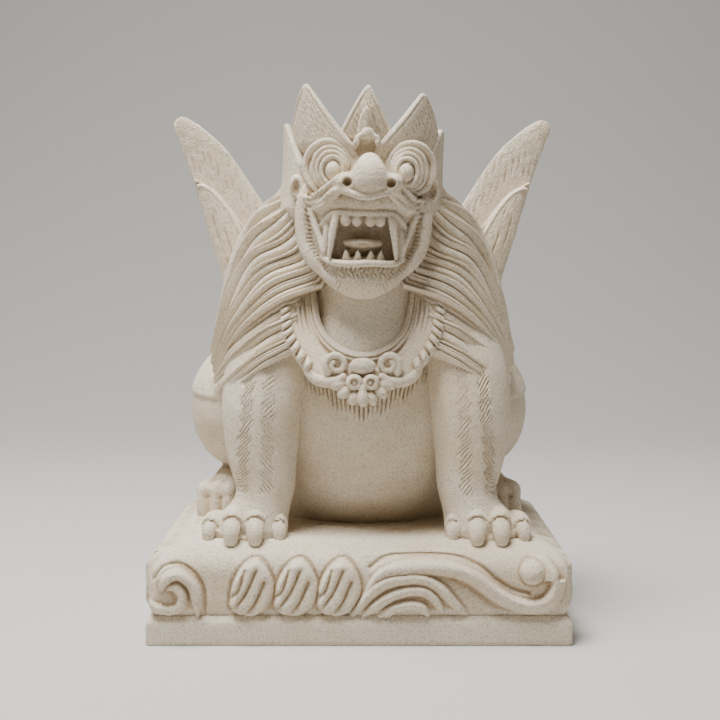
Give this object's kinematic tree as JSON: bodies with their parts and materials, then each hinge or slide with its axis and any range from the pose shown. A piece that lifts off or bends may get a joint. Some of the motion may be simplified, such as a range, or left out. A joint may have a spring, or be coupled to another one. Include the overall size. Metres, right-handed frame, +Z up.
{
  "type": "guardian lion statue",
  "caption": "Seated winged temple lion with open fanged jaws, leaf crown, maned shoulders and bib collar, carved with its wave plinth from a pale limestone block",
  "frame": {"origin": "middle of the underside of the plinth, where it rests on the ground", "axes": "+Z up, the lion faces -Y, +X is the lion's left and the viewer's right"},
  "size_m": [0.38, 0.3019, 0.4991],
  "materials": {
    "limestone": "matt, softly grained carved limestone"
  },
  "bodies": {
    "root": {"singha_statue": "limestone"}
  },
  "joints": []
}
